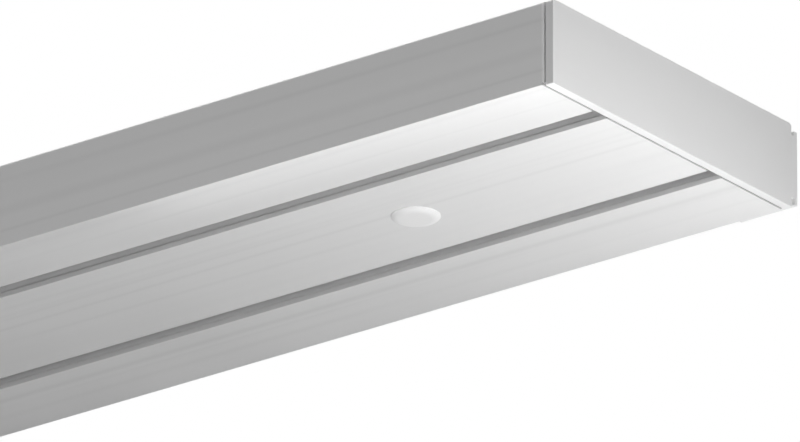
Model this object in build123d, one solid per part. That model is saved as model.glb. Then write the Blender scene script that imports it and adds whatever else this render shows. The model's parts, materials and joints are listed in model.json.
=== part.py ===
from build123d import *
import os

# Track profile: X runs along the track, Z = 0 is the ceiling, Y = 0 is the line of screws
track_length = 1000.0
track_height = 18.0
front_reach = 38.2
rear_reach = 41.8
run_reach = 19.2
side_wall = 1.2
inner_wall = 1.2
top_web = 1.2
lip = 1.0
slot_width = 4.6
channel_width = 14.0
rib_height = 0.5
rib_width = 1.2
bottom_radius = 0.1
top_radius = 0.65
rebate_reach = 0.35
rebate_height = 0.5

# Ceiling screw holes, in one line
hole_end_reach = 61.0
screw_hole_r = 2.5
access_hole_r = 4.2

# Screw covers
cover_rim = 0.8
cover_edge = 0.2
cover_depth = 0.85
cover_flat_r = 3.2
leg_wall = 1.0
leg_gap = 0.1
leg_split = 1.6
leg_barb = 0.3
leg_lead = 1.4

# End caps
cap_neck = 0.4
cap_plate = 1.85
cap_drop = 0.3
cap_radius = 0.7
cap_low_radius = 0.3
cap_edge = 0.12
neck_inset = 0.9
plug_depth = 12.0
plug_wall = 1.4
plug_gap = 0.15
plug_lead = 0.5
tongue_gap = 0.85
tongue_thickness = 0.95
tongue_length = 14.0
tongue_top = 1.4
tongue_bottom = 0.6
tongue_bead = 1.5
bridge_top = 2.3
bridge_bottom = 2.0
bead_gap = 0.15

# Rollers
rollers_per_run = 6
wheel_diameter = 10.0
wheel_lift = 0.3
wheel_chamfer = 0.4
wheel_gap = 0.3
axle_r = 1.5
axle_fit = 0.05
head_r = 1.8
head_length = 0.7
head_gap = 0.5
yoke_r = 4.0
yoke_gap = 0.1
stem_gap = 0.8
stem_length = 5.0
stem_blend = 1.2
eye_r = 2.25
eye_wall = 1.95
eye_drop = 6.5

# Stops
stop_length = 12.0
stop_width = 11.0
stop_depth = 6.0
stop_corner = 2.0
stop_edge = 0.6
stop_lift = 0.3
key_gap = 0.3
nut_gap = 1.0
nut_thickness = 2.5
clamp_r = 1.45
clamp_fit = 0.05
clamp_free = 0.2
clamp_head_r = 2.9
clamp_head_depth = 1.5
clamp_sink = 0.15
clamp_end = 1.2
recess_reach = 1.7
recess_width = 0.8
recess_depth = 0.9
left_stop_reach = 30.0
right_stop_reach = 220.0
stop_to_roller = 40.0

# Places that follow from those sizes
half = track_length / 2
underside = -track_height
floor_z = underside + lip
rib_z = floor_z + rib_height
yoke_width = slot_width - 2 * yoke_gap
stem_width = slot_width - 2 * stem_gap
wheel_inner = yoke_width / 2 + wheel_gap
head_outer = channel_width / 2 - head_gap
head_inner = head_outer - head_length
wheel_outer = head_inner - wheel_gap
wheel_width = wheel_outer - wheel_inner
rib_reach = (wheel_inner + wheel_outer) / 2
axle_z = rib_z + wheel_lift + wheel_diameter / 2
eye_z = underside - eye_drop
outer_hole = half - hole_end_reach
hole_places = [-outer_hole, -outer_hole / 3, outer_hole / 3, outer_hole]
left_stop = -half + left_stop_reach
right_stop = half - right_stop_reach
first_roller = left_stop + stop_to_roller
last_roller = right_stop - stop_to_roller
roller_step = (last_roller - first_roller) / (rollers_per_run - 1)
runs = {"front": -run_reach, "rear": run_reach}
channel_edge = channel_width / 2 + inner_wall
chambers = [
    (-front_reach + side_wall, -run_reach - channel_edge),
    (-run_reach + channel_edge, run_reach - channel_edge),
    (run_reach + channel_edge, rear_reach - side_wall),
]


# Solid block between six limits
def block(x0, x1, y0, y1, z0, z1):
    return Pos((x0 + x1) / 2, (y0 + y1) / 2, (z0 + z1) / 2) * Box(x1 - x0, y1 - y0, z1 - z0)


# Flat rectangle between four limits
def panel(u0, u1, v0, v1):
    return Pos((u0 + u1) / 2, (v0 + v1) / 2) * Rectangle(u1 - u0, v1 - v0)


# Round bar across the track
def cross_bar(radius, width, z):
    return Pos(0, 0, z) * Rot(90, 0, 0) * Cylinder(radius, width)


# Extruded two-run profile: three hollow chambers, two open channels, rebated lower end edges
def track_profile():
    outline = panel(-front_reach, rear_reach, underside, 0)
    rows = outline.vertices().group_by(Axis.Y)
    outline = fillet(rows[0], bottom_radius)
    outline = fillet(outline.vertices().group_by(Axis.Y)[-1], top_radius)
    for near, far in chambers:
        outline -= panel(near, far, floor_z, -top_web)
    for middle in runs.values():
        outline -= panel(middle - channel_width / 2, middle + channel_width / 2, floor_z, -top_web)
        outline -= panel(middle - slot_width / 2, middle + slot_width / 2, underside - 1, floor_z + 1)
        for side in (-1, 1):
            rib = middle + side * rib_reach
            outline += panel(rib - rib_width / 2, rib + rib_width / 2, floor_z - lip / 2, rib_z)
    profile = extrude(Plane.YZ * outline, half, both=True)
    for x in hole_places:
        profile -= Pos(x, 0, -top_web / 2) * Cylinder(screw_hole_r, top_web * 2)
        profile -= Pos(x, 0, underside + lip / 2) * Cylinder(access_hole_r, lip * 2)
    for end in (-half, half - rebate_reach):
        rebate_top = underside + rebate_height
        profile -= block(end, end + rebate_reach, -front_reach, rear_reach, underside, rebate_top)
    return profile


# Low button with a rounded shoulder and four barbed legs that snap into an access hole
def screw_cover():
    rim = access_hole_r + cover_rim
    edge = Polyline((cover_flat_r, -cover_depth), (0, -cover_depth), (0, 0), (rim, 0), (rim, -cover_edge))
    shoulder = TangentArc((cover_flat_r, -cover_depth), (rim, -cover_edge), tangent=(1, 0))
    disc = revolve(Plane.XZ * make_face([edge, shoulder]), Axis.Z)
    outer = access_hole_r - leg_gap
    inner = outer - leg_wall
    leg = Polyline(
        (inner, 0),
        (outer, 0),
        (outer, lip + leg_gap),
        (access_hole_r + leg_barb, lip + leg_gap + leg_barb),
        (outer - leg_barb, lip + leg_lead),
        (inner, lip + leg_lead),
        close=True,
    )
    legs = revolve(Plane.XZ * make_face(leg), Axis.Z)
    reach = 2 * (access_hole_r + cover_rim)
    legs -= block(-leg_split / 2, leg_split / 2, -reach, reach, 0, 2 * (lip + leg_lead))
    legs -= block(-reach, reach, -leg_split / 2, leg_split / 2, 0, 2 * (lip + leg_lead))
    return Pos(0, 0, underside) * (disc + legs)


# Cap for the +X end: plate, neck, three hollow plugs and a clip tongue behind the rear face
def end_cap():
    inner_face = half + cap_neck
    outer_face = inner_face + cap_plate
    plate = panel(-front_reach, rear_reach, underside - cap_drop, 0)
    plate = fillet(plate.vertices().group_by(Axis.Y)[0], cap_low_radius)
    plate = fillet(plate.vertices().group_by(Axis.Y)[-1], cap_radius)
    cap = extrude(Plane.YZ.offset(inner_face) * plate, cap_plate)
    cap = fillet(cap.faces().sort_by(Axis.X)[-1].edges(), cap_edge)
    low, high = underside + neck_inset, -neck_inset
    cap += block(half, inner_face, neck_inset - front_reach, rear_reach - neck_inset, low, high)
    for near, far in chambers:
        low, high = floor_z + plug_gap, -top_web - plug_gap
        plug = block(half - plug_depth, half, near + plug_gap, far - plug_gap, low, high)
        plug = chamfer(plug.faces().sort_by(Axis.X)[0].edges(), plug_lead)
        skin = plug_gap + plug_wall
        low, high = floor_z + skin, -top_web - skin
        plug -= block(half - 2 * plug_depth, half, near + skin, far - skin, low, high)
        cap += plug
    tongue_start = outer_face - tongue_length
    near = rear_reach + tongue_gap
    far = near + tongue_thickness
    low = underside + tongue_bottom
    cap += block(tongue_start, outer_face, near, far, low, -tongue_top)
    bridge_low = underside + bridge_bottom
    cap += block(inner_face, outer_face, rear_reach - cap_radius, far, bridge_low, -bridge_top)
    bead_end = tongue_start + tongue_bead
    cap += block(tongue_start, bead_end, rear_reach + bead_gap, near, bridge_low, -bridge_top)
    return cap


# Roller hanger moulded in one: yoke, axle stubs with snap heads, stem and eyelet
def roller_hanger():
    eye_outer = eye_r + eye_wall
    stem = panel(-stem_length / 2, stem_length / 2, eye_z, axle_z)
    shape = stem + Pos(0, eye_z) * Circle(eye_outer)
    joins = shape.vertices().filter_by_position(Axis.Y, eye_z, axle_z, inclusive=(False, False))
    shape = fillet(joins, stem_blend)
    shape -= Pos(0, eye_z) * Circle(eye_r)
    hanger = extrude(Plane.XZ * shape, stem_width / 2, both=True)
    hanger += cross_bar(yoke_r, yoke_width, axle_z)
    hanger += cross_bar(axle_r, 2 * head_inner, axle_z)
    for side in (-1, 1):
        head = Rot(-90 * side, 0, 0) * Cone(head_r, axle_r - axle_fit, head_length)
        hanger += Pos(0, side * (head_inner + head_outer) / 2, axle_z) * head
    return hanger


# Wheel on the +Y axle stub, with a chamfered outer edge
def roller_wheel():
    rim = wheel_diameter / 2
    section = Polyline(
        (axle_r + axle_fit, wheel_inner),
        (rim, wheel_inner),
        (rim, wheel_outer - wheel_chamfer),
        (rim - wheel_chamfer, wheel_outer),
        (axle_r + axle_fit, wheel_outer),
        close=True,
    )
    return Pos(0, 0, axle_z) * revolve(make_face(section), Axis.Y)


# Stop block below the slot, with a key in the slot and a countersunk hole
def stop_block():
    top = underside - stop_lift
    low = top - stop_depth
    body = block(-stop_length / 2, stop_length / 2, -stop_width / 2, stop_width / 2, low, top)
    body = fillet(body.edges().filter_by(Axis.Z), stop_corner)
    body = chamfer(body.faces().sort_by(Axis.Z)[0].edges(), stop_edge)
    key = slot_width / 2 - key_gap
    body += block(-stop_length / 2 + stop_corner, stop_length / 2 - stop_corner, -key, key, top, floor_z)
    hole = clamp_r + clamp_free
    body -= Pos(0, 0, (low + floor_z) / 2) * Cylinder(hole, 2 * (floor_z - low))
    sink = Cone(clamp_head_r + clamp_free, hole, clamp_head_depth)
    body -= Pos(0, 0, low + clamp_sink + clamp_head_depth / 2) * sink
    body -= Pos(0, 0, low + clamp_sink / 2) * Cylinder(clamp_head_r + clamp_free, clamp_sink)
    return body


# Clamp nut plate that lies over both lips inside the channel
def stop_nut():
    low = rib_z + stop_lift
    side = channel_width / 2 - nut_gap
    plate = block(-stop_length / 2, stop_length / 2, -side, side, low, low + nut_thickness)
    plate = fillet(plate.edges().filter_by(Axis.Z), stop_corner)
    plate -= Pos(0, 0, low + nut_thickness / 2) * Cylinder(clamp_r + clamp_fit, 2 * nut_thickness)
    return plate


# Countersunk clamp screw with a cross recess
def stop_screw():
    low = underside - stop_lift - stop_depth + clamp_sink
    top = rib_z + stop_lift + nut_thickness + clamp_end
    neck = low + clamp_head_depth
    screw = Pos(0, 0, (neck + top) / 2) * Cylinder(clamp_r, top - neck)
    screw += Pos(0, 0, low + clamp_head_depth / 2) * Cone(clamp_head_r, clamp_r, clamp_head_depth)
    slit = recess_width / 2
    screw -= block(-recess_reach, recess_reach, -slit, slit, low - 1, low + recess_depth)
    screw -= block(-slit, slit, -recess_reach, recess_reach, low - 1, low + recess_depth)
    return screw


# Every node of the track, each in its place
def all_nodes():
    nodes = {"track_profile": track_profile()}
    nodes["right_end_cap"] = end_cap()
    nodes["left_end_cap"] = mirror(nodes["right_end_cap"], Plane.YZ)
    cover = screw_cover()
    for number, x in enumerate(hole_places, 1):
        nodes[f"screw_cover_{number}"] = Pos(x, 0, 0) * cover
    hanger = roller_hanger()
    wheel = roller_wheel()
    stop_pieces = {"block": stop_block(), "nut": stop_nut(), "screw": stop_screw()}
    for run, y in runs.items():
        for number in range(rollers_per_run):
            place = Pos(first_roller + number * roller_step, y, 0)
            name = f"{run}_roller_{number + 1}"
            nodes[f"{name}_hanger"] = place * hanger
            nodes[f"{name}_front_wheel"] = place * mirror(wheel, Plane.XZ)
            nodes[f"{name}_rear_wheel"] = place * wheel
        for side, x in (("left", left_stop), ("right", right_stop)):
            for piece, solid in stop_pieces.items():
                nodes[f"{run}_{side}_stop_{piece}"] = Pos(x, y, 0) * solid
    return nodes


os.makedirs("parts", exist_ok=True)
for node, shape in all_nodes().items():
    export_step(shape, f"parts/{node}.step")
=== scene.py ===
import bpy
import json
import math
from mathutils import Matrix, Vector

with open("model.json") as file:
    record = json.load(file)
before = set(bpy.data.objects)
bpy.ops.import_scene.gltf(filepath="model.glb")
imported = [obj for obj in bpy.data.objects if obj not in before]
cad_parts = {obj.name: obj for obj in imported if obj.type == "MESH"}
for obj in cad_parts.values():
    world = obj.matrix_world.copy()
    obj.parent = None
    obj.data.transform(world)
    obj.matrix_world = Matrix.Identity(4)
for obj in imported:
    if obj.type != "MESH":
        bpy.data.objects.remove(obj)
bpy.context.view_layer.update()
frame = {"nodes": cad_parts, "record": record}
scene = bpy.context.scene
scene.view_settings.view_transform = "Standard"
profileBox = frame["nodes"]["track_profile"].bound_box
profileEnd = max(corner[0] for corner in profileBox)  # half of the profile's length
underside = min(corner[2] for corner in profileBox)
print("frame loaded:", len(frame["nodes"]), "nodes")

# node helpers: each new node stands right of the last one, a few in a row
nodeGrid = {"inRow": 8, "stepX": 220, "stepY": 320}


def addNode(tree, kind, **settings):
    row, column = divmod(len(tree.nodes), nodeGrid["inRow"])
    node = tree.nodes.new(kind)
    node.location = (column * nodeGrid["stepX"], -row * nodeGrid["stepY"])
    for key, value in settings.items():
        setattr(node, key, value)
    return node


def link(tree, start, end):
    tree.links.new(start, end)


def feed(tree, socket, value):  # a number is set on the socket, an output is linked to it
    if isinstance(value, (int, float)):
        socket.default_value = value
    else:
        link(tree, value, socket)


def mathNode(tree, operation, *values):
    node = addNode(tree, "ShaderNodeMath", operation=operation)
    for socket, value in zip(node.inputs, values):
        feed(tree, socket, value)
    return node.outputs[0]


def rangeNode(tree, value, source, target, **settings):  # source and target: low end, high end
    node = addNode(tree, "ShaderNodeMapRange", **settings)
    labels = ("Value", "From Min", "From Max", "To Min", "To Max")
    for label, number in zip(labels, (value, *source, *target)):
        feed(tree, node.inputs[label], number)
    return node.outputs["Result"]


def noiseNode(tree, vector, scale, detail):
    node = addNode(tree, "ShaderNodeTexNoise")
    link(tree, vector, node.inputs["Vector"])
    feed(tree, node.inputs["Scale"], scale)
    feed(tree, node.inputs["Detail"], detail)
    return node.outputs[0]


def objectCoords(tree):
    return addNode(tree, "ShaderNodeTexCoord").outputs["Object"]


def objectAxes(tree):  # outputs X, Y and Z of the Object coordinates
    node = addNode(tree, "ShaderNodeSeparateXYZ")
    link(tree, objectCoords(tree), node.inputs[0])
    return node.outputs


def makeGroup(name, inputs, outputs):  # inputs are values, outputs are labels with their kinds
    tree = bpy.data.node_groups.new(name, "ShaderNodeTree")
    for label in inputs:
        tree.interface.new_socket(name=label, in_out="INPUT", socket_type="NodeSocketFloat")
    for label, kind in outputs.items():
        tree.interface.new_socket(name=label, in_out="OUTPUT", socket_type="NodeSocket" + kind)
    return tree, addNode(tree, "NodeGroupInput"), addNode(tree, "NodeGroupOutput")


# die lines and painted slot shade: noise stretched along X, a few soft darker lines that come and go along
# the profile, and fixed streaks, each a smooth dip in tone about one place across the section; the two on
# the rear walls of the slots are painted shade
dieNoise = {
    "streakScale": 1.0, "streakDetail": 4.0, "lineScale": 0.6, "lineDetail": 0.0,
    "lineLevel": 0.5, "lineHalf": 0.04,  # a line runs where its noise is within this half of the level
    "patchScale": 14.0, "patchDetail": 1.0, "patchSpan": (0.4, 0.65),
}
streaksAndSlotShade = (  # axis, place, half width in metres, depth of tone
    ("Y", -0.0032, 0.0010, 0.045), ("Y", -0.0086, 0.0009, 0.02), ("Y", 0.0268, 0.0017, 0.07),
    ("Y", -0.0169, 0.00012, 0.16), ("Y", 0.0215, 0.00012, 0.16),  # painted shade on the rear walls of the slots
    ("Z", -0.0147, 0.0006, 0.05), ("Z", -0.0104, 0.0019, 0.04), ("Z", -0.0037, 0.0008, 0.02),
)
noiseSpan = (0.3, 0.7)  # where most values of a noise lie


def dieLinesAndSlotShadeGroup(noise, dips):
    tree, start, end = makeGroup(
        "dieLinesAndSlotShade", ("Across", "Along", "Tone", "Line"), {"Tone": "Float", "Height": "Float"})
    coords = objectCoords(tree)
    spread = addNode(tree, "ShaderNodeCombineXYZ")
    for socket, label in zip(spread.inputs, ("Along", "Across", "Across")):
        link(tree, start.outputs[label], socket)
    stretched = addNode(tree, "ShaderNodeVectorMath", operation="MULTIPLY")
    link(tree, coords, stretched.inputs[0])
    link(tree, spread.outputs[0], stretched.inputs[1])
    streaks = noiseNode(tree, stretched.outputs[0], noise["streakScale"], noise["streakDetail"])
    lineField = noiseNode(tree, stretched.outputs[0], noise["lineScale"], noise["lineDetail"])
    patches = noiseNode(tree, coords, noise["patchScale"], noise["patchDetail"])
    off = mathNode(tree, "ABSOLUTE", mathNode(tree, "SUBTRACT", lineField, noise["lineLevel"]))
    line = rangeNode(tree, off, (0.0, noise["lineHalf"]), (1.0, 0.0))
    patch = rangeNode(tree, patches, noise["patchSpan"], (0.0, 1.0))
    line = mathNode(tree, "MULTIPLY", line, patch)
    lowTone = mathNode(tree, "SUBTRACT", 1.0, start.outputs["Tone"])
    tone = rangeNode(tree, streaks, noiseSpan, (lowTone, 1.0))
    lineTone = mathNode(tree, "MULTIPLY", line, start.outputs["Line"])
    keep = mathNode(tree, "SUBTRACT", 1.0, lineTone)
    axes = objectAxes(tree)
    # two of these dips are painted shade on the rear walls of the slots, the rest are die streaks
    for axis, middle, half, depth in dips:
        away = mathNode(tree, "ABSOLUTE", mathNode(tree, "SUBTRACT", axes[axis], middle))
        dip = rangeNode(tree, away, (0.0, half), (1.0 - depth, 1.0), interpolation_type="SMOOTHSTEP")
        keep = mathNode(tree, "MULTIPLY", keep, dip)
    link(tree, mathNode(tree, "MULTIPLY", tone, keep), end.inputs["Tone"])
    link(tree, mathNode(tree, "SUBTRACT", streaks, line), end.inputs["Height"])
    return tree


# painted end shade and highlight: masks of what lies past a reach along X, below a height, where shade is
# painted, and above it, where a highlight is painted
def endShadeAndHighlightGroup():
    tree, start, end = makeGroup(
        "endShadeAndHighlight", ("Reach", "Fade", "Height"), {"Lower": "Float", "Upper": "Float"})
    axes = objectAxes(tree)
    out = mathNode(tree, "ABSOLUTE", axes["X"])
    full = mathNode(tree, "ADD", start.outputs["Reach"], start.outputs["Fade"])
    past = rangeNode(tree, out, (start.outputs["Reach"], full), (0.0, 1.0))
    below = mathNode(tree, "LESS_THAN", axes["Z"], start.outputs["Height"])
    above = mathNode(tree, "SUBTRACT", 1.0, below)
    link(tree, mathNode(tree, "MULTIPLY", past, below), end.inputs["Lower"])
    link(tree, mathNode(tree, "MULTIPLY", past, above), end.inputs["Upper"])
    return tree


# soft edges: a rounded normal near each edge, and a mask of how far it turns from the flat one; the mask
# places the painted edge highlight of the moulded plastics
edgeSet = {"samples": 6, "fullTurn": 0.7}  # the mask is full where the cosine of the turn is fullTurn


def softEdgeGroup(values):
    tree, start, end = makeGroup("softEdge", ("Radius",), {"Normal": "Vector", "Edge": "Float"})
    rounded = addNode(tree, "ShaderNodeBevel", samples=values["samples"])
    link(tree, start.outputs["Radius"], rounded.inputs["Radius"])
    flat = addNode(tree, "ShaderNodeNewGeometry")
    turn = addNode(tree, "ShaderNodeVectorMath", operation="DOT_PRODUCT")
    link(tree, rounded.outputs[0], turn.inputs[0])
    link(tree, flat.outputs["True Normal"], turn.inputs[1])
    edge = rangeNode(tree, turn.outputs["Value"], (values["fullTurn"], 1.0), (1.0, 0.0))
    link(tree, rounded.outputs[0], end.inputs["Normal"])
    link(tree, edge, end.inputs["Edge"])
    return tree


# mould grain: fine pebbled noise for height, and wide cloudy noise for tone and gloss
grainDetail = {"Grain": 2.0, "Cloud": 3.0}


def mouldGrainGroup(detail):
    tree, start, end = makeGroup("mouldGrain", ("Grain", "Cloud"), {"Height": "Float", "Cloud": "Float"})
    coords = objectCoords(tree)
    for label, result in (("Grain", "Height"), ("Cloud", "Cloud")):
        noise = noiseNode(tree, coords, start.outputs[label], detail[label])
        link(tree, noise, end.inputs[result])
    return tree


groups = {
    "dieLinesAndSlotShade": dieLinesAndSlotShadeGroup(dieNoise, streaksAndSlotShade), "endShadeAndHighlight": endShadeAndHighlightGroup(),
    "softEdge": softEdgeGroup(edgeSet), "mouldGrain": mouldGrainGroup(grainDetail),
}
print("node groups built:", ", ".join(groups))


def placeGroup(tree, name, **values):
    node = addNode(tree, "ShaderNodeGroup", node_tree=groups[name])
    for label, value in values.items():
        node.inputs[label].default_value = value
    return node.outputs


def newMaterial(name):
    material = bpy.data.materials.new(name)
    material.use_nodes = True
    tree = material.node_tree
    return material, tree, tree.nodes["Principled BSDF"]


mixSocket = {"factor": 0, "first": 6, "second": 7, "result": 2}  # places of a Mix node's colour sockets


def tintNode(tree, colour, tone):  # colour times a grey tone
    mix = addNode(tree, "ShaderNodeMix", data_type="RGBA", blend_type="MULTIPLY")
    mix.inputs[mixSocket["factor"]].default_value = 1.0
    mix.inputs[mixSocket["first"]].default_value = (*colour, 1.0)
    link(tree, tone, mix.inputs[mixSocket["second"]])
    return mix.outputs[mixSocket["result"]]


# what every finish has: a toned colour, gloss that drifts with the clouds, and a fine bump
def setFinish(tree, shader, look, tone, cloud, height, normal):
    link(tree, tintNode(tree, look["colour"], tone), shader.inputs["Base Color"])
    link(tree, rangeNode(tree, cloud, noiseSpan, look["rough"]), shader.inputs["Roughness"])
    bump = addNode(tree, "ShaderNodeBump")
    bump.inputs["Distance"].default_value = look["bumpHeight"]
    bump.inputs["Strength"].default_value = look["bumpStrength"]
    link(tree, height, bump.inputs["Height"])
    link(tree, normal, bump.inputs["Normal"])
    link(tree, bump.outputs["Normal"], shader.inputs["Normal"])


# extruded white plastic of the profile: painted shade in the rebate at its ends, a painted highlight on
# the ends above the rebate, and painted light that makes the inside of the rear channel a little paler
extrudedLook = {
    "colour": (0.87, 0.87, 0.87), "rough": (0.38, 0.5), "ior": 1.5, "edgeRadius": 0.0001, "cloud": 45.0,
    "bumpHeight": 0.00002, "bumpStrength": 0.5,
    "linesAcross": 150.0, "linesAlong": 3.0, "toneSpan": 0.03, "lineDepth": 0.04,
    # painted shade darkens the end rebate, and a painted highlight pales the end faces above it
    "shadeReach": profileEnd - 0.00065, "shadeFade": 0.00015, "shadeHeight": underside + 0.00052,
    "rebateShadeTone": 0.58, "endHighlightTone": 1.12,
    "channelY": (0.0192, 0.0071), "channelZ": (-0.0088, 0.0081), "channelLightTone": 1.09,  # middle, half width
}


def extrudedWhite(look):
    material, tree, shader = newMaterial("extrudedWhite")
    lines = placeGroup(tree, "dieLinesAndSlotShade", Across=look["linesAcross"], Along=look["linesAlong"],
                       Tone=look["toneSpan"], Line=look["lineDepth"])
    edges = placeGroup(tree, "softEdge", Radius=look["edgeRadius"])
    grain = placeGroup(tree, "mouldGrain", Cloud=look["cloud"])
    # masks for the painted shade and the painted highlight at the profile's ends
    endLightMasks = placeGroup(tree, "endShadeAndHighlight", Reach=look["shadeReach"], Fade=look["shadeFade"],
                      Height=look["shadeHeight"])
    axes = objectAxes(tree)
    # painted light: the inside of the rear channel is made a little paler
    acrossChannel = mathNode(tree, "COMPARE", axes["Y"], *look["channelY"])
    upChannel = mathNode(tree, "COMPARE", axes["Z"], *look["channelZ"])
    inChannel = mathNode(tree, "MULTIPLY", acrossChannel, upChannel)
    tone = lines["Tone"]
    changes = ((endLightMasks["Lower"], "rebateShadeTone"), (endLightMasks["Upper"], "endHighlightTone"), (inChannel, "channelLightTone"))
    for mask, name in changes:
        change = rangeNode(tree, mask, (0.0, 1.0), (1.0, look[name]))
        tone = mathNode(tree, "MULTIPLY", tone, change)
    setFinish(tree, shader, look, tone, grain["Cloud"], lines["Height"], edges["Normal"])
    shader.inputs["IOR"].default_value = look["ior"]
    return material


# moulded white plastic of the caps and stops, the brighter screw covers and the glossier rollers, all with
# a painted highlight along their edges
plasticBase = {"ior": 1.5, "bumpStrength": 0.4, "cloudTone": (0.985, 1.0)}
mouldedLook = {
    **plasticBase, "colour": (0.87, 0.87, 0.87), "rough": (0.36, 0.46), "edgeRadius": 0.0001,
    "edgeHighlightTone": 1.03, "grain": 2600.0, "cloud": 60.0, "bumpHeight": 0.000012,
}
coverLook = {
    **plasticBase, "colour": (0.95, 0.95, 0.95), "rough": (0.3, 0.4), "edgeRadius": 0.0001,
    "edgeHighlightTone": 1.02, "grain": 2600.0, "cloud": 60.0, "bumpHeight": 0.000008,
}
rollerLook = {
    **plasticBase, "colour": (0.86, 0.86, 0.855), "rough": (0.24, 0.34), "edgeRadius": 0.0003,
    "edgeHighlightTone": 1.03, "grain": 3200.0, "cloud": 120.0, "bumpHeight": 0.000006,
}


def mouldedWhite(name, look):
    material, tree, shader = newMaterial(name)
    grain = placeGroup(tree, "mouldGrain", Grain=look["grain"], Cloud=look["cloud"])
    edges = placeGroup(tree, "softEdge", Radius=look["edgeRadius"])
    cloudTone = rangeNode(tree, grain["Cloud"], noiseSpan, look["cloudTone"])
    # painted highlight: the edges are made a little paler
    edgeHighlightTone = rangeNode(tree, edges["Edge"], (0.0, 1.0), (1.0, look["edgeHighlightTone"]))
    tone = mathNode(tree, "MULTIPLY", cloudTone, edgeHighlightTone)
    setFinish(tree, shader, look, tone, grain["Cloud"], grain["Height"], edges["Normal"])
    shader.inputs["IOR"].default_value = look["ior"]
    return material


# zinc-plated steel of the clamp screws
steelLook = {
    "colour": (0.62, 0.62, 0.63), "rough": (0.24, 0.4), "edgeRadius": 0.0001, "cloudTone": (0.9, 1.0),
    "grain": 4200.0, "cloud": 900.0, "bumpHeight": 0.000006, "bumpStrength": 0.4,
}


def platedSteel(look):
    material, tree, shader = newMaterial("platedSteel")
    grain = placeGroup(tree, "mouldGrain", Grain=look["grain"], Cloud=look["cloud"])
    edges = placeGroup(tree, "softEdge", Radius=look["edgeRadius"])
    tone = rangeNode(tree, grain["Cloud"], noiseSpan, look["cloudTone"])
    setFinish(tree, shader, look, tone, grain["Cloud"], grain["Height"], edges["Normal"])
    shader.inputs["Metallic"].default_value = 1.0
    return material


finishes = {
    "extruded_white": extrudedWhite(extrudedLook),
    "moulded_white": mouldedWhite("mouldedWhite", mouldedLook),
    "screw_cover": mouldedWhite("coverWhite", coverLook),
    "roller_white": mouldedWhite("rollerWhite", rollerLook),
    "steel": platedSteel(steelLook),
}
for part in frame["record"]["subparts"]:
    finish = "screw_cover" if part["node"].startswith("screw_cover") else part["material_slot"]
    for slot in frame["nodes"][part["node"]].material_slots:
        slot.material = finishes[finish]

# camera: a very long lens, from below and in front of the right end
cameraSet = {
    "azimuth": 37.3041, "elevation": -22.7741, "target": (0.43357, 0.0018, -0.01713),
    "viewWidth": 0.161261, "lensRatio": 26.0, "sensor": 36.0,  # ratio of lens length to sensor width
}


def aimedCamera(values):
    around = math.radians(values["azimuth"])
    up = math.radians(values["elevation"])
    back = Vector((math.sin(around) * math.cos(up), -math.cos(around) * math.cos(up), math.sin(up)))
    data = bpy.data.cameras.new("trackCamera")
    data.sensor_fit = "HORIZONTAL"
    data.sensor_width = values["sensor"]
    data.lens = values["sensor"] * values["lensRatio"]
    camera = bpy.data.objects.new("trackCamera", data)
    camera.location = Vector(values["target"]) + back * values["viewWidth"] * values["lensRatio"]
    camera.rotation_mode = "QUATERNION"
    camera.rotation_quaternion = (-back).to_track_quat("-Z", "Y")
    scene.collection.objects.link(camera)
    return camera


scene.camera = aimedCamera(cameraSet)

# soft lamps: place, aim, size in metres, watts, beam spread in degrees
bankLamps = {  # long banks over and behind the whole track, and a short one under its middle
    "midBank": ((0.0, -0.15, -0.20), (0.0, 0.0, -0.018), (0.24, 0.08), 0.16, 110),
    "topBank": ((0.0, 0.0, 1.2), (0.0, 0.0, 0.0), (1.4, 0.4), 9.0, 180),
    "rearBank": ((0.0, 1.2, 0.1), (0.0, 0.0, 0.0), (1.4, 0.4), 5.0, 180),
}
stripLamps = {  # close strips under the right end alone
    "capStrip": ((0.56, 0.0, -0.08), (0.5, 0.0, -0.018), (0.12, 0.03), 0.022, 150),
    "edgeStrip": ((0.46, -0.038, -0.030), (0.46, -0.037, -0.018), (0.12, 0.005), 0.0012, 150),
}
endLamps = {  # round the right end, and mirrored round the left end
    "endKey": ((0.62, -0.06, -0.13), (0.47, -0.02, -0.018), (0.10, 0.10), 0.086, 150),
    "frontBand": ((0.405, -0.45, -0.257), (0.405, -0.005, -0.015), (0.23, 0.08), 0.18, 90),
    "rearKey": ((0.612, 0.165, -0.28), (0.50, -0.03, -0.012), (0.16, 0.16), 0.066, 60),
    "endSoft": ((0.95, 0.0, -0.03), (0.5, 0.0, -0.009), (0.15, 0.10), 0.0185, 60),
    "underSoft": ((0.40, 0.0, -0.35), (0.42, 0.0, -0.018), (0.30, 0.20), 0.02, 150),
}


def softLamp(name, place, aim, size, watts, spread):
    data = bpy.data.lights.new(name, "AREA")
    data.shape = "RECTANGLE"
    data.size, data.size_y = size
    data.energy = watts
    data.spread = math.radians(spread)
    lamp = bpy.data.objects.new(name, data)
    lamp.location = place
    lamp.rotation_mode = "QUATERNION"
    lamp.rotation_quaternion = (Vector(aim) - Vector(place)).to_track_quat("-Z", "Y")
    lamp.visible_camera = False
    scene.collection.objects.link(lamp)


for name, values in {**bankLamps, **stripLamps}.items():
    softLamp(name, *values)
for name, (place, aim, *rest) in endLamps.items():
    for side, flip in (("Right", 1), ("Left", -1)):
        softLamp(name + side, (flip * place[0], *place[1:]), (flip * aim[0], *aim[1:]), *rest)


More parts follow.
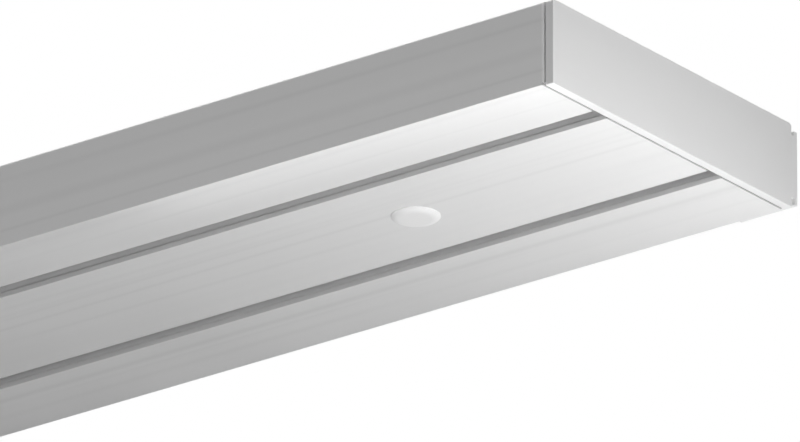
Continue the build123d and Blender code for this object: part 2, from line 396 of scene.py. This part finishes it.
def seenRays(tree):  # 1 on rays from the camera, off gloss or through glass, else 0
    path = addNode(tree, "ShaderNodeLightPath")
    seen = mathNode(tree, "MAXIMUM", path.outputs["Is Camera Ray"], path.outputs["Is Glossy Ray"])
    return mathNode(tree, "MAXIMUM", seen, path.outputs["Is Transmission Ray"])


# world: white where the eye or a reflection meets it, plain grey light elsewhere
worldSet = {"colour": (1.0, 1.0, 1.0), "fill": 0.06, "white": 1.0}


def studioWorld(values):
    world = bpy.data.worlds.new("studioWorld")
    world.use_nodes = True
    tree = world.node_tree
    background = tree.nodes["Background"]
    background.inputs["Color"].default_value = (*values["colour"], 1.0)
    strength = rangeNode(tree, seenRays(tree), (0.0, 1.0), (values["fill"], values["white"]))
    link(tree, strength, background.inputs["Strength"])
    scene.world = world


studioWorld(worldSet)

# floor: a wide pale sheet well below the track, seen only from above
floorSet = {
    "height": -1.6, "half": 40.0, "colour": (0.8, 0.8, 0.8), "rough": 0.9,
    "glowColour": (1.0, 1.0, 1.0), "glow": 0.82,
}


def paleFloor(values):
    half = values["half"]
    corners = [(x * half, y * half, values["height"]) for x, y in ((-1, -1), (1, -1), (1, 1), (-1, 1))]
    mesh = bpy.data.meshes.new("paleFloor")
    mesh.from_pydata(corners, [], [(0, 1, 2, 3)])
    floor = bpy.data.objects.new("paleFloor", mesh)
    scene.collection.objects.link(floor)
    material, tree, shader = newMaterial("paleFloor")
    shader.inputs["Base Color"].default_value = (*values["colour"], 1.0)
    shader.inputs["Roughness"].default_value = values["rough"]
    shader.inputs["Emission Color"].default_value = (*values["glowColour"], 1.0)
    glow = mathNode(tree, "MULTIPLY", seenRays(tree), values["glow"])
    link(tree, glow, shader.inputs["Emission Strength"])
    clear = addNode(tree, "ShaderNodeBsdfTransparent")
    side = addNode(tree, "ShaderNodeNewGeometry")
    mix = addNode(tree, "ShaderNodeMixShader")
    sources = (side.outputs["Backfacing"], shader.outputs[0], clear.outputs[0])
    for socket, source in zip(mix.inputs, sources):
        link(tree, source, socket)
    link(tree, mix.outputs[0], tree.nodes["Material Output"].inputs["Surface"])
    mesh.materials.append(material)


paleFloor(floorSet)
print("camera, lamps, world and floor ready")
